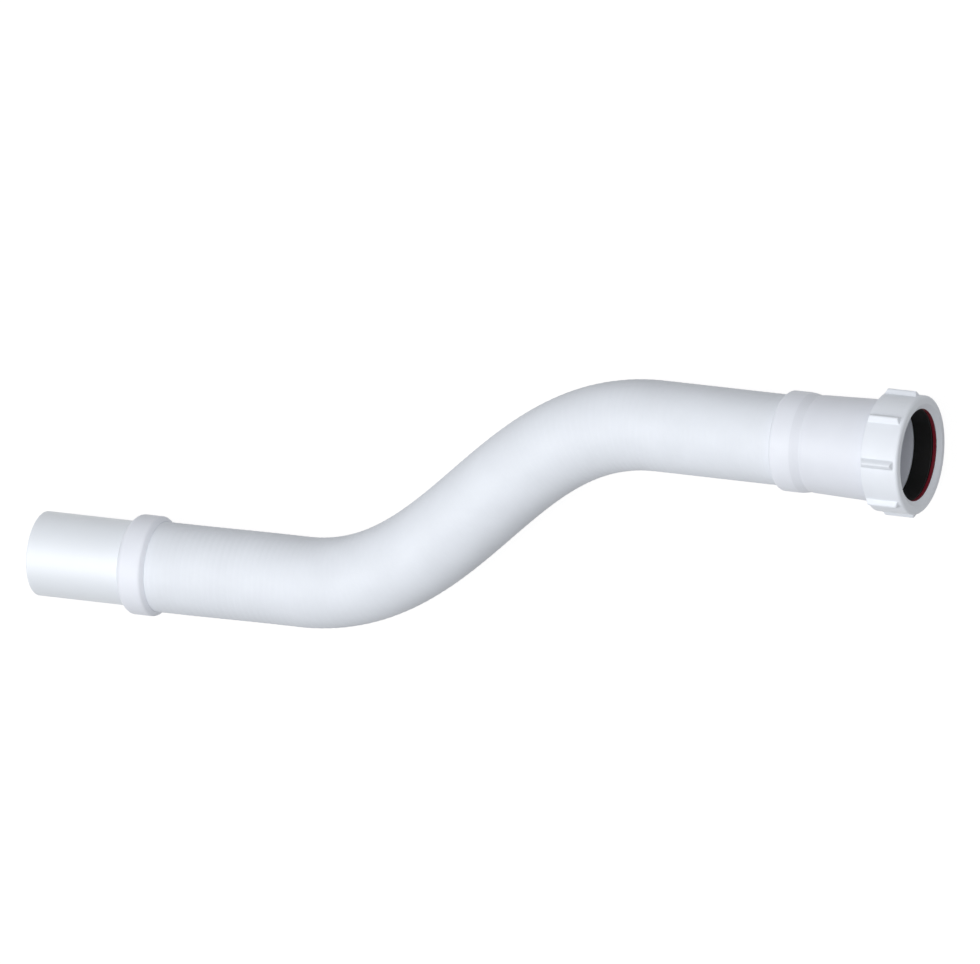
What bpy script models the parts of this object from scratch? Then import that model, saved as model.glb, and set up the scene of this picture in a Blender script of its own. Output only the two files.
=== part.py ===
# Flexible waste connector for a 40 mm basin or sink waste.
# A ribbed flexible hose joins a plain spigot to a socket with a compression nut, slip washer and seal.
# Units are metres and +Z is up. The part lies on z = 0 with both fittings pointing along X.

import math

import bpy
import bmesh

# Spigot: the plain pipe end, moulded in one with the cuff that grips the hose
PIPE_DIAMETER = 0.0400
PIPE_WALL = 0.0020
SPIGOT_LENGTH = 0.0477
SPIGOT_CUFF_LENGTH = 0.0139
SPIGOT_CUFF_WALL = 0.0020

# Hose: ribbed outside, smooth bore inside
HOSE_DIAMETER = 0.0427
RIB_PITCH = 0.00325
RIB_DEPTH = 0.0006
HOSE_WALL = 0.0014
HOSE_SEAT = 0.0118
BORE_SPACING = 0.0180

# Route of the hose between its cuffs: straight, bend, counter-bend, straight
SPIGOT_STRAIGHT = 0.0723
SOCKET_STRAIGHT = 0.0693
BEND_ANGLE = math.radians(42.8)
BEND_STEADY = 0.0345
BEND_EASING = 0.0700
SOCKET_DRIFT = 0.0020
GUIDE_SPACING = 0.0025

# Socket: cuff, flared body with a stop for the pipe, and a threaded mouth
SOCKET_CUFF_LENGTH = 0.0134
SOCKET_CUFF_WALL = 0.00195
SOCKET_NECK_WALL = 0.0012
SOCKET_FLARE = 0.0011
SOCKET_BODY_LENGTH = 0.0360
SOCKET_BORE = 0.0435
PIPE_STOP_DEPTH = 0.0380
PIPE_STOP_RISE = 0.0028
THREAD_WALL = 0.0017
THREAD_LEAD_IN = 0.0008

# Seal ring: a head that the nut presses on, and a cone that wedges into the mouth
SEAL_BORE = 0.0428
SEAL_HEAD_LENGTH = 0.0025
SEAL_CONE_LENGTH = 0.0069
SEAL_CONE_ROOT_WALL = 0.0018
SEAL_CONE_TIP_WALL = 0.0009

# Slip washer between the seal and the nut
WASHER_BORE = 0.0432
WASHER_THICKNESS = 0.0015

# Compression nut
NUT_LENGTH = 0.0187
NUT_WALL = 0.0025
NUT_LIP = 0.0018
NUT_MOUTH = 0.0434
NUT_MOUTH_CHAMFER_WIDTH = 0.0026
NUT_MOUTH_CHAMFER_DEPTH = 0.0012
NUT_EDGE_RADIUS = 0.0012
LUG_COUNT = 8
LUG_HEIGHT = 0.0022
LUG_TOP_ANGLE = math.radians(2.0)
LUG_FLANK_ANGLE = math.radians(3.4)
LUG_TURN = math.radians(0.4)
LUG_REAR_SETBACK = 0.0003
LUG_REAR_SLOPE = 0.0009
LUG_FRONT_SETBACK = 0.0022
LUG_FRONT_SLOPE = 0.0009
LUG_ROOT = 0.0010
LUG_EASING = 0.0004

# Fits and roundings
FIT_GAP = 0.0003
THREAD_GAP = 0.0003
SEAL_HEAD_GAP = 0.0005
WASHER_GAP = 0.0004
CUFF_EDGE_RADIUS = 0.0015
SMALL_EDGE_RADIUS = 0.0005
CUTTER_MARGIN = 0.0020
FLANK_OVERRUN = 0.2

# Facets round each turned piece
FITTING_STEPS = 32
NUT_STEPS = 36
HOSE_STEPS = 16
ARC_STEPS = 2

# Worked-out radii
pipe_radius = PIPE_DIAMETER / 2
pipe_bore_radius = pipe_radius - PIPE_WALL
hose_radius = HOSE_DIAMETER / 2
rib_root_radius = hose_radius - RIB_DEPTH
hose_bore_radius = rib_root_radius - HOSE_WALL
pocket_radius = hose_radius + FIT_GAP
spigot_cuff_radius = pocket_radius + SPIGOT_CUFF_WALL
socket_cuff_radius = pocket_radius + SOCKET_CUFF_WALL
socket_bore_radius = SOCKET_BORE / 2
socket_neck_radius = socket_bore_radius + SOCKET_NECK_WALL
socket_end_radius = socket_neck_radius + SOCKET_FLARE
pipe_stop_radius = socket_bore_radius - PIPE_STOP_RISE
seal_bore_radius = SEAL_BORE / 2
seal_cone_root_radius = seal_bore_radius + SEAL_CONE_ROOT_WALL
seal_cone_tip_radius = seal_bore_radius + SEAL_CONE_TIP_WALL
seat_rim_radius = seal_cone_root_radius + FIT_GAP
seat_floor_radius = seal_cone_tip_radius + FIT_GAP
thread_radius = seat_rim_radius + THREAD_WALL
nut_bore_radius = thread_radius + THREAD_GAP
seal_head_radius = nut_bore_radius - SEAL_HEAD_GAP
nut_radius = nut_bore_radius + NUT_WALL
lug_radius = nut_radius + LUG_HEIGHT
nut_mouth_radius = NUT_MOUTH / 2
washer_bore_radius = WASHER_BORE / 2
washer_radius = nut_bore_radius - WASHER_GAP

# Worked-out lengths
pocket_depth = HOSE_SEAT + FIT_GAP
socket_shoulder = SOCKET_CUFF_LENGTH
nut_rear = SOCKET_CUFF_LENGTH + SOCKET_BODY_LENGTH
nut_face = nut_rear + NUT_LENGTH
washer_front = nut_face - NUT_LIP - FIT_GAP
washer_rear = washer_front - WASHER_THICKNESS
seal_front = washer_rear - FIT_GAP
seal_shoulder = seal_front - SEAL_HEAD_LENGTH
seal_tip = seal_shoulder - SEAL_CONE_LENGTH
socket_rim = seal_shoulder - FIT_GAP
seat_floor = seal_tip - FIT_GAP
pipe_stop = socket_rim - PIPE_STOP_DEPTH

# Heights at which the part rests: the nut stands on a lug's edge, the cuff and the hose on their rounds
lug_half_top = LUG_TOP_ANGLE / 2
lug_pitch = 2 * math.pi / LUG_COUNT


def lug_reach(direction):
    """Farthest that the nut's lugs reach from its axis towards a direction, an angle in the nut's own plane."""
    reach = nut_radius
    for index in range(LUG_COUNT):
        middle = LUG_TURN + index * lug_pitch
        offset = (direction - middle + math.pi) % (2 * math.pi) - math.pi
        beyond = max(0.0, abs(offset) - lug_half_top)
        reach = max(reach, lug_radius * math.cos(beyond))
    return reach


socket_height = lug_reach(0.0)
spigot_height = spigot_cuff_radius
hose_height = hose_radius


def smooth(t):
    """Ease from 0 to 1 with no slope or curvature at either end."""
    t = min(max(t, 0.0), 1.0)
    return t * t * t * (t * (6 * t - 15) + 10)


def bend_turn(distance):
    """Angle that one bend has turned after a distance: steady curvature first, then easing off to none."""
    peak = BEND_ANGLE / (BEND_STEADY + BEND_EASING / 2)
    steady = min(max(distance, 0.0), BEND_STEADY)
    eased = min(max(distance - BEND_STEADY, 0.0), BEND_EASING)
    return peak * (steady + eased - eased * eased / (2 * BEND_EASING))


bend_length = BEND_STEADY + BEND_EASING
visible_length = SPIGOT_STRAIGHT + 2 * bend_length + SOCKET_STRAIGHT


def heading(distance):
    """Direction of the hose in plan at a distance from the spigot's cuff."""
    if distance < SPIGOT_STRAIGHT + bend_length:
        return bend_turn(distance - SPIGOT_STRAIGHT)
    return bend_turn(visible_length - SOCKET_STRAIGHT - distance)


def route_points():
    """Centre line of the hose as (x, y, z), from the spigot's cuff to the socket's cuff.

    The plan follows the heading. The hose sinks to the floor for its bends, and near the socket
    it climbs to the nut's axis and drifts sideways by SOCKET_DRIFT."""
    count = max(2, round(visible_length / GUIDE_SPACING))
    step = visible_length / count
    x = 0.0
    y = 0.0
    points = []
    for index in range(count + 1):
        distance = index * step
        near_spigot = 1 - smooth(distance / SPIGOT_STRAIGHT)
        near_socket = 1 - smooth((visible_length - distance) / SOCKET_STRAIGHT)
        z = hose_height + (spigot_height - hose_height) * near_spigot
        z += (socket_height - hose_height) * near_socket
        points.append((x, y + SOCKET_DRIFT * near_socket, z))
        middle = heading(distance + step / 2)
        x += step * math.cos(middle)
        y += step * math.sin(middle)
    return points


plan = route_points()
span = plan[-1][0]
offset = plan[-1][1]

# Place the part so that the middle of its base is the origin
low_x = -SPIGOT_CUFF_LENGTH - SPIGOT_LENGTH
high_x = span + nut_face
low_y = -spigot_cuff_radius
high_y = offset + lug_reach(math.pi / 2)
spigot_x = -(low_x + high_x) / 2
spigot_y = -(low_y + high_y) / 2
socket_x = spigot_x + span
socket_y = spigot_y + offset


def clear_scene():
    for thing in list(bpy.data.objects):
        bpy.data.objects.remove(thing, do_unlink=True)


def new_collection(name):
    group = bpy.data.collections.new(name)
    bpy.context.scene.collection.children.link(group)
    return group


def plastic(name, colour, roughness):
    """A Principled material for moulded plastic or rubber."""
    material = bpy.data.materials.new(name)
    material.use_nodes = True
    shader = material.node_tree.nodes["Principled BSDF"]
    shader.inputs["Base Color"].default_value = (*colour, 1.0)
    shader.inputs["Roughness"].default_value = roughness
    shader.inputs["Metallic"].default_value = 0.0
    material.diffuse_color = (*colour, 1.0)
    return material


def filleted(corners):
    """Replace each corner (radius, height, fillet) of a closed outline by an arc, where it has a fillet."""
    outline = []
    count = len(corners)
    for index in range(count):
        r, h, fillet = corners[index]
        if fillet == 0:
            outline.append((r, h))
            continue
        before = corners[index - 1]
        after = corners[(index + 1) % count]
        into = (before[0] - r, before[1] - h)
        out = (after[0] - r, after[1] - h)
        into_length = math.hypot(*into)
        out_length = math.hypot(*out)
        into = (into[0] / into_length, into[1] / into_length)
        out = (out[0] / out_length, out[1] / out_length)
        opening = math.acos(into[0] * out[0] + into[1] * out[1])
        reach = min(fillet / math.tan(opening / 2), 0.45 * into_length, 0.45 * out_length)
        bisector = (into[0] + out[0], into[1] + out[1])
        scale = reach / (math.cos(opening / 2) ** 2 * 2)
        centre = (r + bisector[0] * scale, h + bisector[1] * scale)
        start = (r + into[0] * reach, h + into[1] * reach)
        end = (r + out[0] * reach, h + out[1] * reach)
        first = math.atan2(start[1] - centre[1], start[0] - centre[0])
        last = math.atan2(end[1] - centre[1], end[0] - centre[0])
        sweep = (last - first + math.pi) % (2 * math.pi) - math.pi
        size = math.hypot(start[0] - centre[0], start[1] - centre[1])
        for part in range(ARC_STEPS + 1):
            angle = first + sweep * part / ARC_STEPS
            outline.append((centre[0] + size * math.cos(angle), centre[1] + size * math.sin(angle)))
    return outline


def turned(name, outline, steps, group, material=None):
    """Turn a closed outline of (radius, height) points about Z. The outer side runs from top to bottom."""
    mesh = bpy.data.meshes.new(name)
    count = len(outline)
    edges = [(index, (index + 1) % count) for index in range(count)]
    mesh.from_pydata([(r, 0, h) for r, h in outline], edges, [])
    shape = bpy.data.objects.new(name, mesh)
    group.objects.link(shape)
    if material:
        mesh.materials.append(material)
    screw = shape.modifiers.new("Turn", "SCREW")
    screw.axis = "Z"
    screw.steps = steps
    screw.render_steps = steps
    screw.use_merge_vertices = True
    screw.merge_threshold = 0.00001
    screw.use_smooth_shade = True
    return shape


def lay_along_x(shape, x, y, z):
    """Lay a turned piece on its side: its own Z axis becomes +X, and its start goes to (x, y, z)."""
    shape.rotation_euler = (0, math.pi / 2, 0)
    shape.location = (x, y, z)


def as_helper(shape):
    """Keep a cutter or a guide out of the model."""
    shape.hide_render = True
    shape.display_type = "WIRE"


def spigot_outline():
    """Section of the spigot end. Height 0 is the open end of the plain pipe."""
    end = SPIGOT_LENGTH + SPIGOT_CUFF_LENGTH
    return filleted([
        (pocket_radius, end, 0),
        (spigot_cuff_radius, end, CUFF_EDGE_RADIUS),
        (spigot_cuff_radius, SPIGOT_LENGTH, CUFF_EDGE_RADIUS),
        (pipe_radius, SPIGOT_LENGTH, 0),
        (pipe_radius, 0, SMALL_EDGE_RADIUS),
        (pipe_bore_radius, 0, 0),
        (pipe_bore_radius, end - pocket_depth, 0),
        (pocket_radius, end - pocket_depth, 0),
    ])


def socket_outline():
    """Section of the socket end. Height 0 is where the hose goes in."""
    return filleted([
        (seat_rim_radius, socket_rim, 0),
        (thread_radius, socket_rim, THREAD_LEAD_IN),
        (thread_radius, nut_rear, 0),
        (socket_end_radius, nut_rear, 0),
        (socket_neck_radius, socket_shoulder, 0),
        (socket_cuff_radius, socket_shoulder, CUFF_EDGE_RADIUS),
        (socket_cuff_radius, 0, CUFF_EDGE_RADIUS),
        (pocket_radius, 0, 0),
        (pocket_radius, pocket_depth, 0),
        (pipe_stop_radius, pocket_depth, 0),
        (pipe_stop_radius, pipe_stop, 0),
        (socket_bore_radius, pipe_stop, 0),
        (socket_bore_radius, seat_floor, 0),
        (seat_floor_radius, seat_floor, 0),
    ])


def seal_outline():
    """Section of the seal ring, a head with a cone. Height 0 is the nut's rear end."""
    return filleted([
        (seal_bore_radius, seal_front - nut_rear, 0),
        (seal_head_radius, seal_front - nut_rear, SMALL_EDGE_RADIUS),
        (seal_head_radius, seal_shoulder - nut_rear, 0),
        (seal_cone_root_radius, seal_shoulder - nut_rear, 0),
        (seal_cone_tip_radius, seal_tip - nut_rear, 0),
        (seal_bore_radius, seal_tip - nut_rear, 0),
    ])


def washer_outline():
    """Section of the flat slip washer. Height 0 is the nut's rear end."""
    return [
        (washer_bore_radius, washer_front - nut_rear),
        (washer_radius, washer_front - nut_rear),
        (washer_radius, washer_rear - nut_rear),
        (washer_bore_radius, washer_rear - nut_rear),
    ]


def nut_outline():
    """Section of the nut's plain ring, with the inner lip that presses on the washer."""
    lip_rear = NUT_LENGTH - NUT_LIP
    return filleted([
        (nut_mouth_radius + NUT_MOUTH_CHAMFER_WIDTH, NUT_LENGTH, 0),
        (nut_radius, NUT_LENGTH, NUT_EDGE_RADIUS),
        (nut_radius, 0, SMALL_EDGE_RADIUS),
        (nut_bore_radius, 0, 0),
        (nut_bore_radius, lip_rear, 0),
        (nut_mouth_radius, lip_rear, 0),
        (nut_mouth_radius, NUT_LENGTH - NUT_MOUTH_CHAMFER_DEPTH, 0),
    ])


def lug_band_outline():
    """Section of the raised band that the lugs are cut from, rooted inside the nut's ring."""
    root = nut_radius - LUG_ROOT
    eased = nut_radius - LUG_EASING
    return [
        (root, NUT_LENGTH - LUG_FRONT_SETBACK),
        (eased, NUT_LENGTH - LUG_FRONT_SETBACK),
        (lug_radius, NUT_LENGTH - LUG_FRONT_SETBACK - LUG_FRONT_SLOPE),
        (lug_radius, LUG_REAR_SETBACK + LUG_REAR_SLOPE),
        (eased, LUG_REAR_SETBACK),
        (root, LUG_REAR_SETBACK),
    ]


def polar(radius, angle):
    return (radius * math.cos(angle), radius * math.sin(angle))


def gap_side(side, middle):
    """One side of a gap beside a lug: from under the ring's face, up the lug's flank, then straight out."""
    top_angle = middle + side * lug_half_top
    top = polar(lug_radius, top_angle)
    foot = polar(nut_radius, top_angle + side * LUG_FLANK_ANGLE)
    slope = (foot[0] - top[0], foot[1] - top[1])
    under = (foot[0] + slope[0] * FLANK_OVERRUN, foot[1] + slope[1] * FLANK_OVERRUN)
    above = (top[0] - slope[0] * FLANK_OVERRUN, top[1] - slope[1] * FLANK_OVERRUN)
    clear_radius = (lug_radius + CUTTER_MARGIN) / math.cos((lug_pitch - LUG_TOP_ANGLE) / 2)
    return [under, above, polar(clear_radius, top_angle)]


def gap_prisms(group):
    """One cutter that clears the band between neighbouring lugs, with a prism for each gap."""
    low = LUG_REAR_SETBACK - CUTTER_MARGIN
    high = NUT_LENGTH - LUG_FRONT_SETBACK + CUTTER_MARGIN
    mesh = bpy.data.meshes.new("lug_gaps")
    cutter = bmesh.new()
    for index in range(LUG_COUNT):
        here = LUG_TURN + index * lug_pitch
        corners = gap_side(1, here) + gap_side(-1, here + lug_pitch)[::-1]
        base = cutter.faces.new([cutter.verts.new((x, y, low)) for x, y in corners])
        grown = bmesh.ops.extrude_face_region(cutter, geom=[base])
        lifted = [item for item in grown["geom"] if isinstance(item, bmesh.types.BMVert)]
        bmesh.ops.translate(cutter, verts=lifted, vec=(0, 0, high - low))
    bmesh.ops.recalc_face_normals(cutter, faces=cutter.faces)
    cutter.to_mesh(mesh)
    cutter.free()
    shape = bpy.data.objects.new("lug_gaps", mesh)
    group.objects.link(shape)
    as_helper(shape)
    return shape


def hose_guide(group):
    """Curve that the hose follows, with a straight run inside each cuff."""
    first = plan[0]
    last = plan[-1]
    points = [(first[0] - HOSE_SEAT, first[1], first[2])] + plan + [(last[0] + HOSE_SEAT, last[1], last[2])]
    curve = bpy.data.curves.new("hose_guide", "CURVE")
    curve.dimensions = "3D"
    curve.twist_mode = "Z_UP"
    line = curve.splines.new("POLY")
    line.points.add(len(points) - 1)
    for point, (x, y, z) in zip(line.points, points):
        point.co = (x + spigot_x, y + spigot_y, z, 1)
    guide = bpy.data.objects.new("hose_guide", curve)
    group.objects.link(guide)
    as_helper(guide)
    length = sum(math.dist(a, b) for a, b in zip(points, points[1:]))
    return guide, length


def hose_outline(length):
    """Section of the hose laid out straight: a rib and a groove for each pitch, plain ends, smooth bore."""
    ribbed = length - 2 * HOSE_SEAT
    count = max(1, round(ribbed / RIB_PITCH))
    pitch = ribbed / count
    outer = [(hose_radius, length)]
    for index in range(count):
        top = length - HOSE_SEAT - index * pitch
        outer.append((hose_radius, top))
        outer.append((rib_root_radius, top - pitch / 2))
    outer.append((hose_radius, HOSE_SEAT))
    outer.append((hose_radius, 0))
    bore_count = max(1, round(length / BORE_SPACING))
    bore = [(hose_bore_radius, length * index / bore_count) for index in range(bore_count + 1)]
    return outer + bore


def make_hose(parts, guides, material):
    guide, length = hose_guide(guides)
    hose = turned("hose", hose_outline(length), HOSE_STEPS, parts, material)
    follow = hose.modifiers.new("Follow", "CURVE")
    follow.object = guide
    follow.deform_axis = "POS_Z"
    return hose


def make_nut(parts, guides, material):
    band = turned("lug_band", lug_band_outline(), NUT_STEPS, guides)
    as_helper(band)
    gaps = gap_prisms(guides)
    cut = band.modifiers.new("Gaps", "BOOLEAN")
    cut.operation = "DIFFERENCE"
    cut.solver = "EXACT"
    cut.object = gaps
    nut = turned("compression_nut", nut_outline(), NUT_STEPS, parts, material)
    for shape in (nut, band, gaps):
        lay_along_x(shape, socket_x + nut_rear, socket_y, socket_height)
    join = nut.modifiers.new("Lugs", "BOOLEAN")
    join.operation = "UNION"
    join.solver = "EXACT"
    join.object = band
    return nut


def build():
    clear_scene()
    parts = new_collection("flexible_waste_connector")
    guides = new_collection("cutters_and_guides")
    spigot_white = plastic("white_polypropylene_spigot", (0.93, 0.94, 0.95), 0.32)
    hose_white = plastic("white_polypropylene_hose", (0.80, 0.83, 0.89), 0.38)
    socket_white = plastic("white_polypropylene_socket", (0.86, 0.88, 0.92), 0.34)
    nut_white = plastic("white_polypropylene_nut", (0.87, 0.89, 0.93), 0.36)
    seal_black = plastic("black_rubber", (0.012, 0.012, 0.013), 0.62)
    washer_red = plastic("red_polyethylene", (0.36, 0.010, 0.035), 0.42)

    spigot = turned("spigot_end", spigot_outline(), FITTING_STEPS, parts, spigot_white)
    lay_along_x(spigot, spigot_x + low_x, spigot_y, spigot_height)
    make_hose(parts, guides, hose_white)
    socket = turned("socket_end", socket_outline(), FITTING_STEPS, parts, socket_white)
    lay_along_x(socket, socket_x, socket_y, socket_height)
    make_nut(parts, guides, nut_white)
    washer = turned("slip_washer", washer_outline(), FITTING_STEPS, parts, washer_red)
    seal = turned("seal_ring", seal_outline(), FITTING_STEPS, parts, seal_black)
    for shape in (washer, seal):
        lay_along_x(shape, socket_x + nut_rear, socket_y, socket_height)


build()
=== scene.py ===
"""Flexible waste connector: a ribbed hose between a plain spigot and a compression socket.

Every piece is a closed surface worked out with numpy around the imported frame. Lengths are in metres."""

import math

import bpy
import numpy as np
from bpy.props import FloatProperty, FloatVectorProperty, IntProperty, PointerProperty
from mathutils import Matrix, Vector


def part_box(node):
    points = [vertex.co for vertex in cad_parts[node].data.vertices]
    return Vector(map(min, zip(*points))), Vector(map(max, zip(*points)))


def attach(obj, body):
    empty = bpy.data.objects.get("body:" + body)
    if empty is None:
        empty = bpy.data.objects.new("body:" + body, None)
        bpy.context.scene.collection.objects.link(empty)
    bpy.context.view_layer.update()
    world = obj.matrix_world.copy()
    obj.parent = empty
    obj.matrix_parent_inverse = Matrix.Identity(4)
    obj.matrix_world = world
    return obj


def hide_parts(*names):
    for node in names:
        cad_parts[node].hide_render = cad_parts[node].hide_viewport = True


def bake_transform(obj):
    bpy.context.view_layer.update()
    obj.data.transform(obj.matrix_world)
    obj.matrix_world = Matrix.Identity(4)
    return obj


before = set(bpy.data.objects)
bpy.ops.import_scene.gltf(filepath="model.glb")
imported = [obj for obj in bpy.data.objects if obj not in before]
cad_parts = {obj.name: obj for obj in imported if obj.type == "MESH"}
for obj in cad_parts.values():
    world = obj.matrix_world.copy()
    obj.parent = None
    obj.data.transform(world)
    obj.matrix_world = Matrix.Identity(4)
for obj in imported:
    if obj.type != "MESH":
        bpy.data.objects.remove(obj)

bl_info = {
    "name": "Flexible waste connector",
    "version": (1, 0, 0),
    "blender": (4, 5, 0),
    "location": "3D View > Sidebar > Connector",
    "description": "Ribbed waste hose with a plain spigot and a lugged compression socket",
    "category": "Mesh",
}

FULL_TURN = 2 * math.pi

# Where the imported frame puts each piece: lowest and highest corners
SPIGOT_LOW, SPIGOT_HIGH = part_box("spigot_end")
SOCKET_LOW, SOCKET_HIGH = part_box("socket_end")
NUT_LOW, NUT_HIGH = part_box("compression_nut")
WASHER_LOW, WASHER_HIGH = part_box("slip_washer")
SEAL_LOW, SEAL_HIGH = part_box("seal_ring")


def length(name, description, default):
    """A size in metres that the user may change."""
    return FloatProperty(name=name, description=description, default=default, min=0.0,
                         precision=5, subtype="DISTANCE", unit="LENGTH")


def angle(name, description, degrees):
    """An angle that the user may change."""
    return FloatProperty(name=name, description=description, default=math.radians(degrees),
                         subtype="ANGLE", unit="ROTATION")


def linear(hex_colour):
    """Linear colour of an sRGB hex value.

    Each channel c is c / 12.92 up to 0.04045, and ((c + 0.055) / 1.055) to the power 2.4 above it."""
    c = np.array([int(hex_colour[start:start + 2], 16) for start in (1, 3, 5)]) / 255
    return tuple(float(x) for x in np.where(c <= 0.04045, c / 12.92, ((c + 0.055) / 1.055) ** 2.4))


def colour(name, description, hex_colour):
    """A colour that the user may change."""
    return FloatVectorProperty(name=name, description=description, default=linear(hex_colour),
                               min=0.0, max=1.0, size=3, subtype="COLOR")


class HoseSizes(bpy.types.PropertyGroup):
    diameter: length("Diameter", "Outside diameter over the ribs", 0.0427)
    rib_pitch: length("Rib pitch", "Distance from one rib to the next", 0.00325)
    rib_depth: length("Rib depth", "Depth of the groove between two ribs", 0.00009)
    wall: length("Wall", "Thickness of the wall under a groove", 0.0014)
    seat: length("Seat", "Length of hose inside each cuff", 0.0118)
    spigot_straight: length("Run at the spigot", "Straight run beside the spigot", 0.0723)
    socket_straight: length("Run at the socket", "Straight run beside the socket", 0.0693)
    bend_angle: angle("Bend", "Angle that each bend turns", 42.8)
    bend_steady: length("Round part of a bend", "Length of each bend that is a plain arc", 0.0345)
    bend_easing: length("Easing of a bend", "Length over which each bend eases off", 0.0700)
    socket_drift: length("Drift", "Sideways drift of the run at the socket", 0.0020)
    columns: IntProperty(name="Columns", description="Faces round the hose", default=80, min=16)


class FittingSizes(bpy.types.PropertyGroup):
    pipe_diameter: length("Pipe diameter", "Outside diameter of the plain spigot", 0.0400)
    pipe_wall: length("Pipe wall", "Wall of the plain spigot", 0.0020)
    spigot_length: length("Spigot length", "Length of the plain pipe end", 0.0477)
    spigot_cuff_wall: length("Spigot cuff wall", "Wall of the cuff at the spigot", 0.0020)
    socket_cuff_wall: length("Socket cuff wall", "Wall of the cuff at the socket", 0.00195)
    socket_cuff_length: length("Socket cuff length", "Length of the cuff at the socket", 0.0134)
    pocket_gap: length("Pocket gap", "Clearance round the hose in its cuff", 0.0003)
    socket_bore: length("Socket bore", "Inside diameter of the socket", 0.0435)
    socket_neck_wall: length("Neck wall", "Wall of the socket beside its cuff", 0.0012)
    socket_flare: length("Flare", "Growth in radius from the cuff to the nut", 0.0011)
    pipe_stop_rise: length("Stop rise", "Height of the ledge that stops the pipe", 0.0028)
    pipe_stop_depth: length("Stop depth", "Distance from the rim to the stop", 0.0380)
    cuff_edge: length("Cuff edge", "Rounding of the cuffs' edges", 0.0020)
    cuff_cone: length("Cuff cone", "Length of the cone at the end of the spigot's cuff", 0.0018)
    cuff_toe: length("Cuff toe", "Flat left at the end of the spigot's cuff", 0.0002)
    cuff_foot: length("Cuff foot", "Rounding of the spigot cuff's edge beside the pipe", 0.0032)
    cuff_slope: length("Cuff slope", "Length of the gentle slope from the socket's cuff to its neck", 0.0046)
    cuff_reach: length("Cuff reach", "How far the slope ends beyond the plain cuff", 0.0020)
    neck_waist: length("Neck waist", "Depth of the shallow groove between cuff and neck", 0.00035)
    neck_rise: length("Neck rise", "Length over which that groove runs out on the neck", 0.0014)
    mouth_gap: length("Mouth gap", "Clearance round the hose at the cuffs' mouths", 0.00003)
    thread_radius: length("Thread radius", "Radius over the socket's thread", 0.0252)
    thread_pitch: length("Thread pitch", "Travel of the nut in one turn", 0.0030)
    thread_depth: length("Thread depth", "Height of the thread", 0.0009)
    thread_relief: length("Thread relief", "Plain length between the socket's body and its thread", 0.0004)
    thread_crest: FloatProperty(name="Thread crest", description="Share of half a pitch where the flank ends",
                                default=0.56, min=0.0, max=1.0)
    columns: IntProperty(name="Columns", description="Faces round each fitting", default=144, min=24)


class NutSizes(bpy.types.PropertyGroup):
    radius: length("Radius", "Radius of the plain ring", 0.0280)
    bore_radius: length("Bore radius", "Radius at the roots of the inner thread", 0.0255)
    mouth_radius: length("Mouth radius", "Radius of the opening in the face", 0.0217)
    lip: length("Lip", "Thickness of the lip that presses on the washer", 0.0018)
    chamfer_width: length("Mouth chamfer width", "Radial width of the chamfer round the mouth", 0.0025)
    chamfer_depth: length("Mouth chamfer depth", "Depth of the chamfer round the mouth", 0.0017)
    edge: length("Edge", "Rounding of the face's outer edge", 0.0016)
    lug_count: IntProperty(name="Lugs", description="Number of lugs", default=8, min=2)
    lug_height: length("Lug height", "Height of each lug over the ring", 0.0022)
    lug_top: angle("Lug top", "Angle that the top of a lug spans", 2.0)
    lug_flank: angle("Lug flank", "Angle that each flank of a lug spans", 3.4)
    lug_turn: angle("Lug turn", "Angle of the first lug from straight down", 0.4)
    rear_setback: length("Rear setback", "Start of the lugs from the rear edge", 0.0003)
    rear_slope: length("Rear slope", "Length of the slope at the lugs' rear end", 0.0009)
    front_setback: length("Front setback", "End of the lugs from the face", 0.0022)
    front_slope: length("Front slope", "Length of the slope at the lugs' front end", 0.0009)


class SealSizes(bpy.types.PropertyGroup):
    seal_bore: length("Seal bore", "Inside diameter of the seal", 0.0428)
    head_radius: length("Head radius", "Radius of the seal's head", 0.0250)
    head_length: length("Head length", "Length of the seal's head", 0.0025)
    cone_root_wall: length("Cone root wall", "Wall of the cone beside the head", 0.0018)
    cone_tip_wall: length("Cone tip wall", "Wall of the cone at its tip", 0.0009)
    washer_bore: length("Washer bore", "Inside diameter of the washer", 0.0432)
    washer_radius: length("Washer radius", "Outside radius of the washer", 0.0251)


class Finishes(bpy.types.PropertyGroup):
    hose: colour("Hose", "Extruded white polypropylene", "#EBF0F8")
    spigot: colour("Spigot", "Moulded white polypropylene of the spigot", "#E2E8F0")
    # The cuffs' colour is lighter than the white of the socket and spigot they belong to: painted light for
    # the cuffs' brighter shading
    cuff: colour("Cuffs", "Moulded white polypropylene of both cuffs", "#F0F4FD")
    socket: colour("Socket", "Moulded white polypropylene of the socket", "#EAEEF7")
    nut: colour("Nut", "Moulded white polypropylene of the nut", "#EEF3FB")
    washer: colour("Washer", "Crimson polyethylene", "#7E1024")
    seal: colour("Seal", "Black rubber", "#0A0A0A")
    floor: colour("Floor", "White paper", "#A6A6A6")


class StudioSettings(bpy.types.PropertyGroup):
    turn: angle("Turn", "How far the spigot's end is turned away from the camera", 23.6)
    tilt: angle("Tilt", "How far the camera leans from straight above", 13.0)
    roll: angle("Roll", "Turn of the picture about the line of sight", 6.46)
    distance: length("Distance", "Camera's distance", 20.0)
    lens: FloatProperty(name="Lens", description="Focal length in millimetres", default=1570.0,
                        min=50.0, subtype="DISTANCE_CAMERA", unit="CAMERA")


class Connector(bpy.types.PropertyGroup):
    hose: PointerProperty(type=HoseSizes)
    fittings: PointerProperty(type=FittingSizes)
    nut: PointerProperty(type=NutSizes)
    seal: PointerProperty(type=SealSizes)
    finishes: PointerProperty(type=Finishes)
    studio: PointerProperty(type=StudioSettings)


# Shapes

CORNER = 0.00012
SUPPORT = 0.00025
# Largest shares of a side that one rounding and its extra point may take
ROUNDING_SHARE = 0.4
SUPPORT_SHARE = 0.2
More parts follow.
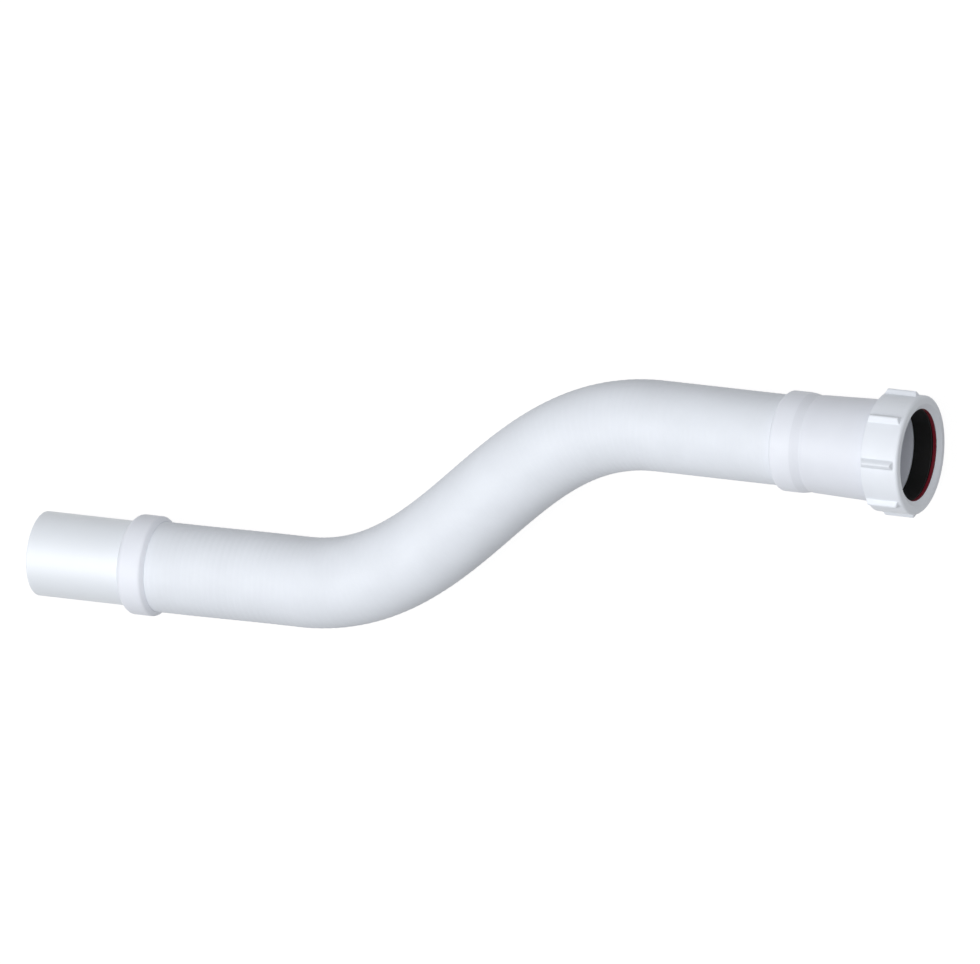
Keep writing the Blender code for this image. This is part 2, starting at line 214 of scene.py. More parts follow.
# Roundings: plain mould edges, outer rims, the feet of the cuffs, the thread's rim and the washer
PLAIN_EDGE = 0.0003
RIM_EDGE = 0.0005
FOOT_EDGE = 0.0006
THREAD_EDGE = 0.0008
WASHER_EDGE = 0.00015
# Broad easings of the socket: where its neck begins and where its cuff begins to slope
NECK_EASE = 0.003
CUFF_EASE = 0.02
# A corner cut back by this share of a large rounding touches the rounding's arc in the middle
EDGE_CUT = 2 - math.sqrt(2)
ROUTE_POINTS = 1401
RIB_ROWS = 8
# Rows of the hose inside a cuff, as shares of the length that the cuff holds
SEAT_ROWS = (0.5, 0.98)
# Depth of the bore's ripple as a share of the ribs' depth
RIPPLE_SHARE = 0.6
SOCKET_ROW_SPACING = 0.0005
NUT_ROW_SPACING = 0.00027
NUT_EVEN_COLUMNS = 180
LUG_SHARPNESS = 7.0
# Fine columns beside each edge of a lug, how far they reach, and the least steps between columns
LUG_FINE_COLUMNS = 9
LUG_FINE_REACH = math.radians(1.6)
EVEN_CLEARANCE = math.radians(0.6)
LEAST_STEP = math.radians(0.1)
# Share of half a pitch by which a thread's flank rises, and its length of runout at both ends
THREAD_FLANK = 0.32
THREAD_RUNOUT = 0.0010
THREAD_MARGIN = 0.0006


def smooth(t):
    """6 t^5 - 15 t^4 + 10 t^3, with t held between 0 and 1."""
    t = np.clip(t, 0, 1)
    return t * t * t * (t * (6 * t - 15) + 10)


def rounded(corners, steps=5):
    """Closed outline with every corner rounded.

    corners holds (radius, along, fillet). The arc of a corner has its centre on the bisector, at
    fillet / sin(half the opening) from the corner, and touches both sides at fillet / tan(half the
    opening). One more point on each side, a little past the arc, keeps the flats flat in shading."""
    data = np.array([(r, h, max(fillet, CORNER)) for r, h, fillet in corners])
    corner = data[:, :2]
    into = np.roll(corner, 1, axis=0) - corner
    out = np.roll(corner, -1, axis=0) - corner
    into_length = np.linalg.norm(into, axis=1)
    out_length = np.linalg.norm(out, axis=1)
    into = into / into_length[:, None]
    out = out / out_length[:, None]
    half = np.arccos(np.clip((into * out).sum(axis=1), -1, 1)) / 2
    reach = np.minimum(data[:, 2] / np.tan(half), ROUNDING_SHARE * np.minimum(into_length, out_length))
    fillet = reach * np.tan(half)
    bisector = into + out
    bisector = bisector / np.linalg.norm(bisector, axis=1)[:, None]
    centre = corner + bisector * (fillet / np.sin(half))[:, None]
    start = corner + into * reach[:, None]
    end = corner + out * reach[:, None]
    first = np.arctan2(*(start - centre).T[::-1])
    last = np.arctan2(*(end - centre).T[::-1])
    sweep = (last - first + math.pi) % FULL_TURN - math.pi
    turn = first[:, None] + sweep[:, None] * np.linspace(0, 1, steps)
    arc = centre[:, None, :] + fillet[:, None, None] * np.stack([np.cos(turn), np.sin(turn)], axis=-1)
    before = start + into * np.minimum(SUPPORT, SUPPORT_SHARE * (into_length - reach))[:, None]
    after = end + out * np.minimum(SUPPORT, SUPPORT_SHARE * (out_length - reach))[:, None]
    return np.concatenate([before[:, None], arc, after[:, None]], axis=1).reshape(-1, 2)


def refined(outline, spacing):
    """The same closed outline with added points, so that no step is longer than spacing."""
    closed = np.vstack([outline, outline[:1]])
    run = np.concatenate([[0.0], np.cumsum(np.linalg.norm(np.diff(closed, axis=0), axis=1))])
    places = np.union1d(run[:-1], np.arange(0, run[-1], spacing))
    return np.stack([np.interp(places, run, closed[:, 0]), np.interp(places, run, closed[:, 1])], axis=1)


def turned(radius, along, angles, start):
    """Grid of points round an axis that runs along +X from start.

    x is start x plus along, y is start y + radius sin a and z is start z - radius cos a, so the
    angle a begins straight down. radius may vary with both row and column."""
    radius = np.broadcast_to(radius if radius.ndim == 2 else radius[:, None], (len(along), len(angles)))
    points = np.empty((len(along), len(angles), 3))
    points[..., 0] = start[0] + along[:, None]
    points[..., 1] = start[1] + radius * np.sin(angles)
    points[..., 2] = start[2] - radius * np.cos(angles)
    return points


def thread_fade(along, first, last):
    """1 on a thread, easing to 0 over the runout at its first and last place."""
    return smooth((along - first) / THREAD_RUNOUT) * smooth((last - along) / THREAD_RUNOUT)


def thread_wave(along, angles, pitch):
    """Distance from a thread's crest line, 0 on the crest and 1 half-way to the next.

    The crest line of this right-hand thread climbs by one pitch for each turn."""
    phase = (along[:, None] / pitch - angles[None, :] / FULL_TURN) % 1.0
    return 2 * np.abs(phase - 0.5)


def ring_piece(name, points, material):
    """Mesh object of a grid that closes on itself both ways, its faces pointing outwards.

    Corner (row, column) is joined to its neighbours in both directions. If the volume, a sixth of the
    sum of the triple products, comes out negative, every face is turned over."""
    rows, columns = points.shape[:2]
    index = np.arange(rows * columns).reshape(rows, columns)
    beside = np.roll(index, -1, axis=1)
    quads = np.stack([index, beside, np.roll(beside, -1, axis=0), np.roll(index, -1, axis=0)], axis=-1)
    quads = quads.reshape(-1, 4)
    flat = points.reshape(-1, 3)
    local = flat - flat.mean(axis=0)
    a, b, c, d = (local[quads[:, corner]] for corner in range(4))
    volume = (np.cross(a, b) * c).sum() + (np.cross(a, c) * d).sum()
    if volume < 0:
        quads = quads[:, ::-1]
    mesh = bpy.data.meshes.new(name)
    mesh.vertices.add(len(flat))
    mesh.vertices.foreach_set("co", flat.astype(np.float32).ravel())
    mesh.loops.add(quads.size)
    mesh.loops.foreach_set("vertex_index", quads.astype(np.int32).ravel())
    mesh.polygons.add(len(quads))
    mesh.polygons.foreach_set("loop_start", np.arange(0, quads.size, 4, dtype=np.int32))
    mesh.polygons.foreach_set("use_smooth", np.ones(len(quads), dtype=bool))
    mesh.update(calc_edges=True)
    if mesh.validate():
        raise RuntimeError(f"{name} came out with faulty faces")
    mesh.materials.append(material)
    piece = bpy.data.objects.new(name, mesh)
    bpy.context.scene.collection.objects.link(piece)
    return piece


def heading(distance, hose):
    """Direction of the hose in plan: each bend turns steadily, then eases off to none where they meet."""
    bend = hose.bend_steady + hose.bend_easing
    total = hose.spigot_straight + 2 * bend + hose.socket_straight
    peak = hose.bend_angle / (hose.bend_steady + hose.bend_easing / 2)
    from_end = np.minimum(distance - hose.spigot_straight, total - hose.socket_straight - distance)
    steady = np.clip(from_end, 0, hose.bend_steady)
    eased = np.clip(from_end - hose.bend_steady, 0, hose.bend_easing)
    return peak * (steady + eased - eased * eased / (2 * hose.bend_easing))


def hose_route(hose, start, finish):
    """Centre line of the hose, with its length so far at each point.

    In plan it is the running sum of the heading. Its height eases from each fitting's axis to the
    hose's own radius, where it lies on the floor, and it drifts sideways into the socket. Both ends
    run straight on into their cuffs."""
    total = hose.spigot_straight + 2 * (hose.bend_steady + hose.bend_easing) + hose.socket_straight
    distance = np.linspace(0, total, ROUTE_POINTS)
    middle = heading((distance[1:] + distance[:-1]) / 2, hose)
    step = distance[1]
    near_spigot = 1 - smooth(distance / hose.spigot_straight)
    near_socket = 1 - smooth((total - distance) / hose.socket_straight)
    low = hose.diameter / 2
    line = np.zeros((len(distance), 3))
    line[1:, 0] = np.cumsum(step * np.cos(middle))
    line[1:, 1] = np.cumsum(step * np.sin(middle))
    line[:, 1] += hose.socket_drift * near_socket
    line[:, :2] += np.array(start)[:2]
    line[:, 2] = low + (start[2] - low) * near_spigot + (finish[2] - low) * near_socket
    line += (np.array(finish) - line[-1]) * (distance / total)[:, None]
    seat = np.array([hose.seat, 0, 0])
    line = np.vstack([line[0] - seat, line, line[-1] + seat])
    run = np.concatenate([[0.0], np.cumsum(np.linalg.norm(np.diff(line, axis=0), axis=1))])
    return line, run


def hose_section(hose, total):
    """Closed section of the hose laid out straight, as (radius, distance).

    Outside, the radius is the crest less rib_depth (1 - cos(2 pi phase)) / 2, with one wave for each
    rib. Inside, the bore follows the ribs with two rings for each."""
    ribbed = total - 2 * hose.seat
    count = max(1, round(ribbed / hose.rib_pitch))
    pitch = ribbed / count
    crest = hose.diameter / 2
    phase = np.arange(RIB_ROWS) / RIB_ROWS
    depth = 0.5 - 0.5 * np.cos(FULL_TURN * phase)
    distance = (hose.seat + (np.arange(count)[:, None] + phase) * pitch).ravel()
    radius = np.tile(crest - hose.rib_depth * depth, count)
    end = [0.0, CORNER, *(hose.seat * share for share in SEAT_ROWS)]
    outer_distance = np.concatenate([end, distance, [total - x for x in end[::-1]]])
    outer_radius = np.concatenate([[crest - CORNER] + [crest] * 3, radius, [crest] * 3 + [crest - CORNER]])
    bore = crest - hose.rib_depth - hose.wall
    inner = np.linspace(hose.seat, total - hose.seat, 2 * count + 1)
    ripple = np.where(np.arange(2 * count + 1) % 2 == 0, 1.0, 0.0) * hose.rib_depth * RIPPLE_SHARE
    inner_distance = np.concatenate([[total], inner[::-1], [0.0]])
    inner_radius = np.concatenate([[bore], bore + ripple[::-1], [bore]])
    return np.concatenate([outer_radius, inner_radius]), np.concatenate([outer_distance, inner_distance])


def along_route(line, run, radius, distance, angles):
    """Grid of a section carried along a line.

    A point is centre + radius (cos a side + sin a up), where side is level and square to the line's
    direction and up is square to both."""
    direction = np.gradient(line, run, axis=0)
    centre = np.stack([np.interp(distance, run, line[:, axis]) for axis in range(3)], axis=1)
    forward = np.stack([np.interp(distance, run, direction[:, axis]) for axis in range(3)], axis=1)
    forward /= np.linalg.norm(forward, axis=1)[:, None]
    side = np.cross([0, 0, 1], forward)
    side /= np.linalg.norm(side, axis=1)[:, None]
    up = np.cross(forward, side)
    round_side = np.cos(angles)[None, :, None] * side[:, None, :]
    round_up = np.sin(angles)[None, :, None] * up[:, None, :]
    return centre[:, None, :] + radius[:, None, None] * (round_side + round_up)


def lug_lift(nut, along, angles, nut_length):
    """Height of the lugs over the ring, from 0 to lug_height.

    Each lug is the least of four slopes: its two flanks, its rear slope and its front slope. A
    rounded minimum, -log(sum of exp(-k slope)) / k, eases the edges where slopes meet, and
    log(1 + exp(2 k least)) / 2 k eases the foot."""
    pitch = FULL_TURN / nut.lug_count
    offset = np.abs((angles - nut.lug_turn + pitch / 2) % pitch - pitch / 2)
    flank = (nut.lug_top / 2 + nut.lug_flank - offset) / nut.lug_flank
    rear = (along - nut.rear_setback) / nut.rear_slope
    front = (nut_length - nut.front_setback - along) / nut.front_slope
    ends = np.minimum(rear, front)[:, None]
    sharp = LUG_SHARPNESS
    total = np.exp(-sharp * flank)[None, :] + np.exp(-sharp * ends) + math.exp(-sharp)
    least = -np.log(total) / sharp
    softened = np.log1p(np.exp(np.clip(2 * sharp * least, -30, 30))) / (2 * sharp)
    return nut.lug_height * np.clip(softened, 0, 1)


# Materials

POLYPROPYLENE_IOR = 1.49
ROUGHNESS_SPREAD = 0.04
# The flow clouds' noise values that count as darkest and as lightest, and how strongly the grain shows
CLOUD_DARKEST = 0.35
CLOUD_LIGHTEST = 0.65
GRAIN_STRENGTH = 0.35
# Strong and broad, as the photographed spigot's highlight is
POLISH_IOR = 2.2
POLISH_ROUGHNESS = 0.58


def add_node(tree, kind, links=(), **settings):
    """Add one shader node. Settings are its own, or input sockets where the key starts with in_.

    links holds (socket to feed, node to read, output of that node)."""
    node = tree.nodes.new(kind)
    for key, value in settings.items():
        if key.startswith("in_"):
            node.inputs[key[3:].replace("_", " ")].default_value = value
        else:
            setattr(node, key, value)
    for target, source, output in links:
        tree.links.new(source.outputs[output], node.inputs[target])
    return node


def moulded_plastic(name, base, roughness, cloud_mm, grain_mm, grain_height_mm, shade=0.97, shine=0.5,
                    polish=0.0, laid=None):
    """Satin plastic or rubber: a nearly even colour with faint flow clouds and a fine skin.

    The real skin's grain, about 0.1 mm, is too fine to show, so it is drawn some ten times coarser.
    shade is how much darker the clouds are, shine the strength of reflections and polish the weight
    of a second, stronger reflecting skin.
    laid names a vector attribute to read in place of Object coordinates, for
    a piece that bends."""
    material = bpy.data.materials.new(name)
    material.use_nodes = True
    tree = material.node_tree
    shader = tree.nodes["Principled BSDF"]
    if laid:
        place = add_node(tree, "ShaderNodeAttribute", attribute_name=laid)
        where = "Vector"
    else:
        place = add_node(tree, "ShaderNodeTexCoord")
        where = "Object"
    clouds = add_node(tree, "ShaderNodeTexNoise", [("Vector", place, where)],
                      in_Scale=1000 / cloud_mm, in_Detail=3.0, in_Roughness=0.5)
    grain = add_node(tree, "ShaderNodeTexNoise", [("Vector", place, where)],
                     in_Scale=1000 / grain_mm, in_Detail=2.0, in_Roughness=0.6)
    tint = add_node(tree, "ShaderNodeValToRGB", [("Fac", clouds, "Fac")])
    tint.color_ramp.elements[0].position = CLOUD_DARKEST
    tint.color_ramp.elements[0].color = (*[c * shade for c in base], 1)
    tint.color_ramp.elements[1].position = CLOUD_LIGHTEST
    tint.color_ramp.elements[1].color = (*base, 1)
    sheen = add_node(tree, "ShaderNodeMapRange", [("Value", clouds, "Fac")])
    sheen.inputs["To Min"].default_value = roughness + ROUGHNESS_SPREAD
    sheen.inputs["To Max"].default_value = roughness - ROUGHNESS_SPREAD
    skin = add_node(tree, "ShaderNodeBump", [("Height", grain, "Fac")],
                    in_Strength=GRAIN_STRENGTH, in_Distance=grain_height_mm / 1000)
    tree.links.new(tint.outputs["Color"], shader.inputs["Base Color"])
    tree.links.new(sheen.outputs["Result"], shader.inputs["Roughness"])
    tree.links.new(skin.outputs["Normal"], shader.inputs["Normal"])
    shader.inputs["IOR"].default_value = POLYPROPYLENE_IOR
    shader.inputs["Specular IOR Level"].default_value = shine
    shader.inputs["Coat Weight"].default_value = polish
    shader.inputs["Coat Roughness"].default_value = POLISH_ROUGHNESS
    shader.inputs["Coat IOR"].default_value = POLISH_IOR
    return material


def seen_directly(tree):
    """Node that gives 1 where the camera, a reflection or clear glass sees a surface, and 0 elsewhere."""
    path = add_node(tree, "ShaderNodeLightPath")
    seen = add_node(tree, "ShaderNodeMath", [(0, path, "Is Camera Ray"), (1, path, "Is Glossy Ray")],
                    operation="MAXIMUM")
    return add_node(tree, "ShaderNodeMath", [(0, seen, 0), (1, path, "Is Transmission Ray")],
                    operation="MAXIMUM")


# Light, in metres, watts and plain strengths

LAMP_DISTANCE = 4.0
KEY_RISE = 0.6
KEY_SIZE = 2.6
KEY_POWER = 42.0
FILL_DROP = 1.2
FILL_SIZE = 3.4
FILL_POWER = 90.0
WORLD_LIGHT = 0.335
SENSOR_MM = 36.0
CLIP_START = 1.0
CLIP_END = 40.0
FLOOR_HALF = 4.0
# A point in the middle of the hose, and how far from it the picture's middle lies
AIM = (-0.00431, -0.00111, 0.02135)
AIM_RIGHT = 0.00618
AIM_UP = 0.00697
# Together these show the floor white to the camera and still take the part's shadow
FLOOR_SHADOW_SHARE = 0.14
FLOOR_GLOW = 0.93


# Operators

def settings_of(context):
    """The sizes, finishes and studio settings of this scene."""
    return context.scene.flexible_waste_connector


def even_angles(count):
    """Angles round a full turn, count of them, from zero."""
    return np.arange(count) * FULL_TURN / count


def on_axis(x, low, high):
    """Point at x on the axis of the fitting whose box runs from low to high."""
    return (x, (low.y + high.y) / 2, (low.z + high.z) / 2)


def nut_angles(nut):
    """Even angles round the nut, with finer ones on both sides of every edge of a lug.

    An even angle close to a fine one is left out, and so is one of two that coincide."""
    edges = np.array([nut.lug_top / 2, nut.lug_top / 2 + nut.lug_flank])
    near = np.linspace(-1, 1, LUG_FINE_COLUMNS) * LUG_FINE_REACH
    signed = np.concatenate([edges, -edges])[:, None] + near
    middles = nut.lug_turn + np.arange(nut.lug_count) * FULL_TURN / nut.lug_count
    fine = (middles[:, None, None] + signed[None]).ravel() % FULL_TURN
    even = even_angles(NUT_EVEN_COLUMNS)
    clear = np.abs((even[:, None] - fine[None, :] + math.pi) % FULL_TURN - math.pi).min(axis=1)
    angles = np.sort(np.concatenate([even[clear > EVEN_CLEARANCE], fine]))
    return angles[np.diff(angles, prepend=-1.0) > LEAST_STEP]


def face_cuff(piece, on_cuff, settings):
    """Give the rows of faces between two rows of points on the cuff a lighter copy of the polypropylene,
    which is painted light.
    """
    # Injection-moulded polypropylene, clear white, painted a little lighter than the bodies of the same
    # mouldings: painted light for the brighter shading on the cuffs
    painted_light_cuff_finish = moulded_plastic("moulded_polypropylene_cuff_painted_lighter", settings.finishes.cuff, 0.48,
                            cloud_mm=22, grain_mm=1.0, grain_height_mm=0.015)
    piece.data.materials.append(painted_light_cuff_finish)
    faces = np.repeat(on_cuff & np.roll(on_cuff, -1), settings.fittings.columns)
    piece.data.polygons.foreach_set("material_index", faces.astype(np.int32))


class CONNECTOR_OT_hose(bpy.types.Operator):
    """Make the ribbed hose that joins the two fittings"""

    bl_idname = "connector.hose"
    bl_label = "Ribbed hose"

    def execute(self, context):
        settings = settings_of(context)
        hose = settings.hose
        start = on_axis(SPIGOT_HIGH.x, SPIGOT_LOW, SPIGOT_HIGH)
        finish = on_axis(SOCKET_LOW.x, SOCKET_LOW, SOCKET_HIGH)
        line, run = hose_route(hose, start, finish)
        radius, distance = hose_section(hose, run[-1])
        angles = even_angles(hose.columns)
        # Polypropylene extruded through ribbed moulds: a satin skin, a little greyer than the mouldings
        material = moulded_plastic("extruded_polypropylene", settings.finishes.hose, 0.58,
                                   cloud_mm=18, grain_mm=0.9, grain_height_mm=0.02, laid="laid_straight")
        points = along_route(line, run, radius, distance, angles)
        piece = ring_piece("ribbed_hose", points, material)
        straight = np.empty((len(radius), len(angles), 3), dtype=np.float32)
        straight[..., 0] = distance[:, None]
        straight[..., 1] = radius[:, None] * np.cos(angles)
        straight[..., 2] = radius[:, None] * np.sin(angles)
        laid = piece.data.attributes.new("laid_straight", "FLOAT_VECTOR", "POINT")
        laid.data.foreach_set("vector", straight.ravel())
        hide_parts("hose")
        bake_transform(piece)
        return {"FINISHED"}


class CONNECTOR_OT_spigot(bpy.types.Operator):
    """Make the plain spigot with the cuff that grips the hose"""

    bl_idname = "connector.spigot"
    bl_label = "Spigot"

    def execute(self, context):
        settings = settings_of(context)
        sizes = settings.fittings
        end = SPIGOT_HIGH.x - SPIGOT_LOW.x
        pocket = settings.hose.diameter / 2 + sizes.mouth_gap
        cuff = settings.hose.diameter / 2 + sizes.pocket_gap + sizes.spigot_cuff_wall
        foot = sizes.cuff_foot * EDGE_CUT
        pipe = sizes.pipe_diameter / 2
        bore = pipe - sizes.pipe_wall
        floor = end - settings.hose.seat - sizes.pocket_gap
        outline = rounded([
            (pocket, end, 0),
            (pocket + sizes.cuff_toe, end, 0),
            (cuff, end - sizes.cuff_cone, sizes.cuff_edge),
            (cuff, sizes.spigot_length + foot, sizes.cuff_foot),
            (cuff - foot, sizes.spigot_length, sizes.cuff_foot),
            (pipe, sizes.spigot_length, FOOT_EDGE),
            (pipe, 0, RIM_EDGE),
            (bore, 0, PLAIN_EDGE),
            (bore, floor, 0),
            (pocket, floor, 0),
        ])
        start = on_axis(SPIGOT_LOW.x, SPIGOT_LOW, SPIGOT_HIGH)
        # Injection-moulded polypropylene with a polished skin: a broad white highlight along the pipe
        material = moulded_plastic("moulded_polypropylene_spigot", settings.finishes.spigot, 0.58,
                                   cloud_mm=25, grain_mm=1.2, grain_height_mm=0.01,
                                   shade=0.985, shine=1.0, polish=1.0)
        points = turned(outline[:, 0], outline[:, 1], even_angles(sizes.columns), start)
        piece = ring_piece("spigot_with_cuff", points, material)
        face_cuff(piece, outline[:, 1] > sizes.spigot_length - CORNER, settings)
        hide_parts("spigot_end")
        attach(piece, "spigot_side")
        return {"FINISHED"}


class CONNECTOR_OT_socket(bpy.types.Operator):
    """Make the socket with its cuff, flared body and thread"""

    bl_idname = "connector.socket"
    bl_label = "Socket"

    def execute(self, context):
        settings = settings_of(context)
        sizes = settings.fittings
        seal = settings.seal
        rim = SOCKET_HIGH.x - SOCKET_LOW.x
        thread_start = NUT_LOW.x - SOCKET_LOW.x
        pocket = settings.hose.diameter / 2 + sizes.mouth_gap
        cuff = settings.hose.diameter / 2 + sizes.pocket_gap + sizes.socket_cuff_wall
        edge = sizes.cuff_edge * EDGE_CUT
        bore = sizes.socket_bore / 2
        neck = bore + sizes.socket_neck_wall
        stop_bore = bore - sizes.pipe_stop_rise
        stop = rim - sizes.pipe_stop_depth
        pocket_floor = settings.hose.seat + sizes.pocket_gap
        seat_rim = seal.seal_bore / 2 + seal.cone_root_wall + sizes.pocket_gap
        seat_tip = seal.seal_bore / 2 + seal.cone_tip_wall + sizes.pocket_gap
        seat_floor = SEAL_LOW.x - SOCKET_LOW.x - sizes.pocket_gap
        slope_end = sizes.socket_cuff_length + sizes.cuff_reach
        outline = rounded([
            (seat_rim, rim, 0),
            (sizes.thread_radius, rim, THREAD_EDGE),
            (sizes.thread_radius, thread_start, 0),
            (neck + sizes.socket_flare, thread_start, 0),
            (neck, slope_end + sizes.neck_rise, NECK_EASE),
            (neck - sizes.neck_waist, slope_end, FOOT_EDGE),
            (cuff, slope_end - sizes.cuff_slope, CUFF_EASE),
            (cuff, edge, sizes.cuff_edge),
            (cuff - edge, 0, sizes.cuff_edge),
            (pocket, 0, 0),
            (pocket, pocket_floor, 0),
            (stop_bore, pocket_floor, 0),
            (stop_bore, stop, 0),
            (bore, stop, PLAIN_EDGE),
            (bore, seat_floor, 0),
            (seat_tip, seat_floor, 0),
        ])
        outline = refined(outline, SOCKET_ROW_SPACING)
        angles = even_angles(sizes.columns)
        radius = outline[:, :1].repeat(len(angles), axis=1)
        root = sizes.thread_radius - sizes.thread_depth
        on_thread = (outline[:, 0] > root) & (outline[:, 1] > thread_start)
        wave = thread_wave(outline[:, 1] + SOCKET_LOW.x, angles, sizes.thread_pitch)
        height = smooth((sizes.thread_crest - wave) / THREAD_FLANK)
        fade = thread_fade(outline[:, 1], thread_start + sizes.thread_relief, rim - THREAD_MARGIN)
        cut = root + sizes.thread_depth * height * fade[:, None]
        radius = np.where(on_thread[:, None], np.minimum(radius, cut), radius)
        start = on_axis(SOCKET_LOW.x, SOCKET_LOW, SOCKET_HIGH)
        # Injection-moulded polypropylene: satin, with a fine even skin
        material = moulded_plastic("moulded_polypropylene_socket", settings.finishes.socket, 0.48,
                                   cloud_mm=22, grain_mm=1.0, grain_height_mm=0.015)
        points = turned(radius, outline[:, 1], angles, start)
        piece = ring_piece("socket_with_thread", points, material)
        on_cuff = (outline[:, 1] < slope_end - sizes.cuff_slope) & (outline[:, 0] > pocket)
        face_cuff(piece, on_cuff, settings)
        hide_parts("socket_end")
        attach(piece, "socket_side")
        return {"FINISHED"}


class CONNECTOR_OT_nut(bpy.types.Operator):
    """Make the compression nut with its lugs and inner thread"""

    bl_idname = "connector.nut"
    bl_label = "Compression nut"

    def execute(self, context):
        settings = settings_of(context)
        nut = settings.nut
        sizes = settings.fittings
        nut_length = NUT_HIGH.x - NUT_LOW.x
        lip_rear = nut_length - nut.lip
        outline = rounded([
            (nut.mouth_radius + nut.chamfer_width, nut_length, PLAIN_EDGE),
            (nut.radius, nut_length, nut.edge),
            (nut.radius, 0, RIM_EDGE),
            (nut.bore_radius, 0, PLAIN_EDGE),
            (nut.bore_radius, lip_rear, 0),
            (nut.mouth_radius, lip_rear, 0),
            (nut.mouth_radius, nut_length - nut.chamfer_depth, 0),
        ], steps=7)
        outline = refined(outline, NUT_ROW_SPACING)
        angles = nut_angles(nut)
        radius = outline[:, :1].repeat(len(angles), axis=1)
        # The lugs rise from the ring's outside alone, and fade over half of the face's rounded edge
        outside = smooth((outline[:, 0] - (nut.radius - nut.edge)) / (nut.edge / 2))
        radius = radius + lug_lift(nut, outline[:, 1], angles, nut_length) * outside[:, None]
        on_bore = (np.abs(outline[:, 0] - nut.bore_radius) < CORNER) & (outline[:, 1] < lip_rear)
        wave = thread_wave(outline[:, 1] + NUT_LOW.x, angles, sizes.thread_pitch)
        thread_end = SOCKET_HIGH.x - NUT_LOW.x
        fade = thread_fade(outline[:, 1], THREAD_MARGIN, thread_end - THREAD_MARGIN)
        crest = sizes.thread_depth * smooth((wave - 1 + sizes.thread_crest) / THREAD_FLANK) * fade[:, None]
        radius = radius - np.where(on_bore[:, None], crest, 0)
        start = on_axis(NUT_LOW.x, SOCKET_LOW, SOCKET_HIGH)
        # Injection-moulded polypropylene: satin, a little glossier than the hose
        material = moulded_plastic("moulded_polypropylene_nut", settings.finishes.nut, 0.44,
                                   cloud_mm=20, grain_mm=1.0, grain_height_mm=0.015)
        points = turned(radius, outline[:, 1], angles, start)
        piece = ring_piece("lugged_nut", points, material)
        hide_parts("compression_nut")
        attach(piece, "nut")
        return {"FINISHED"}


class CONNECTOR_OT_washer(bpy.types.Operator):
    """Make the flat washer between the seal and the nut"""

    bl_idname = "connector.washer"
    bl_label = "Slip washer"

    def execute(self, context):
        settings = settings_of(context)
        sizes = settings.seal
        thickness = WASHER_HIGH.x - WASHER_LOW.x
        outline = rounded([
            (sizes.washer_bore / 2, thickness, WASHER_EDGE),
            (sizes.washer_radius, thickness, WASHER_EDGE),
            (sizes.washer_radius, 0, WASHER_EDGE),
            (sizes.washer_bore / 2, 0, WASHER_EDGE),
        ])
        start = on_axis(WASHER_LOW.x, SOCKET_LOW, SOCKET_HIGH)
        # Stamped crimson polyethylene sheet: even colour, waxy sheen
        material = moulded_plastic("stamped_polyethylene", settings.finishes.washer, 0.40,
                                   cloud_mm=9, grain_mm=0.6, grain_height_mm=0.02, shade=0.88)
        points = turned(outline[:, 0], outline[:, 1], even_angles(settings.fittings.columns), start)
        piece = ring_piece("crimson_washer", points, material)
        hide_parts("slip_washer")
        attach(piece, "seal_pack")
        return {"FINISHED"}


class CONNECTOR_OT_seal(bpy.types.Operator):
    """Make the rubber seal that wedges into the socket"""

    bl_idname = "connector.seal"
    bl_label = "Seal"

    def execute(self, context):
        settings = settings_of(context)
        sizes = settings.seal
        seal_length = SEAL_HIGH.x - SEAL_LOW.x
        cone = seal_length - sizes.head_length
        bore = sizes.seal_bore / 2
        outline = rounded([
            (bore, seal_length, PLAIN_EDGE),
            (sizes.head_radius, seal_length, RIM_EDGE),
            (sizes.head_radius, cone, PLAIN_EDGE),
            (bore + sizes.cone_root_wall, cone, PLAIN_EDGE),
            (bore + sizes.cone_tip_wall, 0, PLAIN_EDGE),
            (bore, 0, PLAIN_EDGE),
        ])
        start = on_axis(SEAL_LOW.x, SOCKET_LOW, SOCKET_HIGH)
        # Moulded black rubber: dull, with a faint grey bloom
        material = moulded_plastic("moulded_rubber", settings.finishes.seal, 0.62,
                                   cloud_mm=6, grain_mm=0.7, grain_height_mm=0.03, shade=0.75, shine=0.3)
        points = turned(outline[:, 0], outline[:, 1], even_angles(settings.fittings.columns), start)
        piece = ring_piece("rubber_seal", points, material)
        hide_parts("seal_ring")
        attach(piece, "seal_pack")
        return {"FINISHED"}


